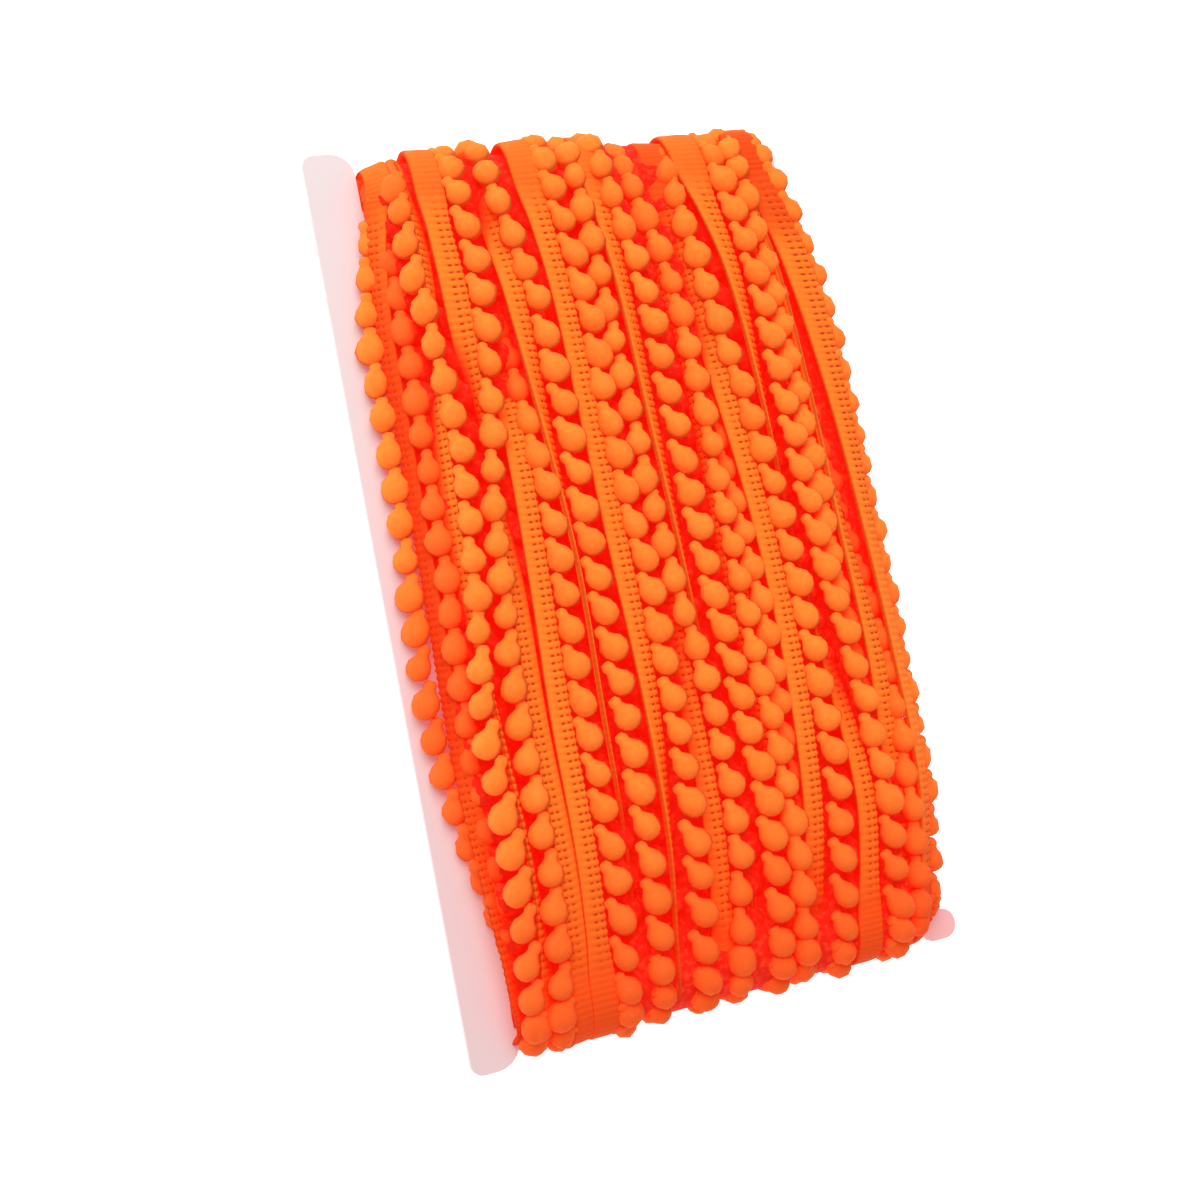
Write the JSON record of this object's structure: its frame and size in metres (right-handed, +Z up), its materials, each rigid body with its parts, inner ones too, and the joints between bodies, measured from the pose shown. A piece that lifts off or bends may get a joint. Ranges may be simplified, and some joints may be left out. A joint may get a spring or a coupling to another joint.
{
  "type": "pompom fringe trim wound on a card",
  "caption": "Neon orange pompom fringe trim wound lengthways round a flat white card with an ear at each corner, lying on its back. The front shows rows of small yarn pompoms and ribbed tape.",
  "frame": {"origin": "on the surface that the object lies on, under the middle of its outline", "axes": "+Z up, out of the front face of the winding; +Y along the turns, towards the card's top end; +X to the right, seen from above with the top end away"},
  "size_m": [0.0927, 0.156, 0.024],
  "materials": {
    "card": "smooth white board",
    "trim": "fuzzy neon orange yarn"
  },
  "bodies": {
    "root": {"card": "card", "wound_trim": "trim"}
  },
  "joints": []
}
